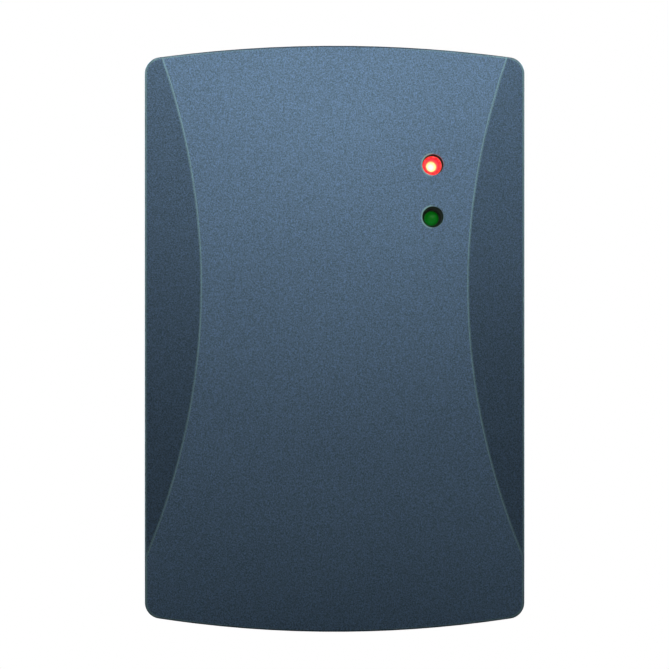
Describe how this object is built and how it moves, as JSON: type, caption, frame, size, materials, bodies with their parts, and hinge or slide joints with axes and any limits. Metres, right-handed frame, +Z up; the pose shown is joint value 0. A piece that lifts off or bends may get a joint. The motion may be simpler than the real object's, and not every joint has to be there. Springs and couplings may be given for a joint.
{
  "type": "wall-mounted proximity card reader",
  "caption": "Slim wall-mounted contactless card reader: crowned plastic cover with sloping cheeks and two recessed lamps, hung on a screwed wall plate and locked from below.",
  "frame": {"origin": "on the wall plane, halfway between the two vertical wall-screw slots of the wall plate", "axes": "+Z up along the reader's height, +Y into the wall, +X to the right seen from the front"},
  "size_m": [0.075, 0.016, 0.1158],
  "materials": {
    "cover_plastic": "fine-grained moulded blue-grey plastic",
    "plate_plastic": "moulded dark grey plastic",
    "back_plastic": "moulded dark grey plastic",
    "gasket_rubber": "soft black sponge rubber",
    "grommet_rubber": "black rubber",
    "label_film": "silver polyester film, blank",
    "insert_brass": "machined, knurled",
    "screw_steel": "zinc plated",
    "board_laminate": "green solder mask on glass-fibre laminate",
    "former_plastic": "moulded black plastic",
    "coil_copper": "enamelled copper wire, wound",
    "tinned_metal": "tinned",
    "red_lens": "clear red epoxy, lit",
    "green_lens": "clear green epoxy, unlit",
    "spacer_nylon": "white nylon",
    "buzzer_plastic": "black moulded case",
    "chip_epoxy": "black epoxy",
    "crystal_steel": "drawn can",
    "capacitor_can": "drawn aluminium can on a black base",
    "trimmer_body": "ceramic with a slotted rotor",
    "fuse_body": "coated polymer",
    "resistor_body": "glazed ceramic with tinned ends",
    "ceramic_body": "ceramic with tinned ends",
    "header_plastic": "green moulded terminal block"
  },
  "bodies": {
    "wall_plate": {"wall_plate": "plate_plastic", "lock_insert": "insert_brass"},
    "reader": {"front_cover": "cover_plastic", "back_cover": "back_plastic", "cover_gasket": "gasket_rubber", "cover_screws": "screw_steel", "board_screws": "screw_steel", "cable_grommet": "grommet_rubber", "rating_label": "label_film", "circuit_board": "board_laminate", "coil_former": "former_plastic", "antenna_coil": "coil_copper", "coil_pins": "tinned_metal", "red_led": "red_lens", "green_led": "green_lens", "led_leads": "tinned_metal", "led_spacers": "spacer_nylon", "buzzer": "buzzer_plastic", "buzzer_leads": "tinned_metal", "controller_chip": "chip_epoxy", "controller_leads": "tinned_metal", "interface_chip": "chip_epoxy", "interface_leads": "tinned_metal", "driver_transistors": "chip_epoxy", "crystal": "crystal_steel", "crystal_leads": "tinned_metal", "voltage_regulator": "chip_epoxy", "protection_diode": "chip_epoxy", "resettable_fuse": "fuse_body", "storage_capacitors": "capacitor_can", "tuning_capacitor": "trimmer_body", "chip_resistors": "resistor_body", "chip_capacitors": "ceramic_body", "wire_header": "header_plastic", "header_pins": "tinned_metal"},
    "lock_washer": {"lock_washer": "screw_steel"},
    "lock_screw": {"lock_screw": "screw_steel"}
  },
  "joints": [
    {"name": "reader_tilt", "type": "hinge", "parent": "wall_plate", "child": "reader", "pos_m": [0, -0.0021, 0.0544], "axis": [-1, 0, 0], "range_deg": [0, 12]},
    {"name": "lock_travel", "type": "slide", "parent": "wall_plate", "child": "lock_washer", "axis": [0, 0, -1], "range_m": [0, 0.0035]},
    {"name": "lock_turn", "type": "hinge", "parent": "lock_washer", "child": "lock_screw", "pos_m": [0, -0.004, -0.0569], "axis": [0, 0, -1], "range_deg": [0, 2521]}
  ],
  "couplings": [
    {"joint": "lock_turn", "follows": "lock_travel", "rad_per_m": 12566}
  ]
}
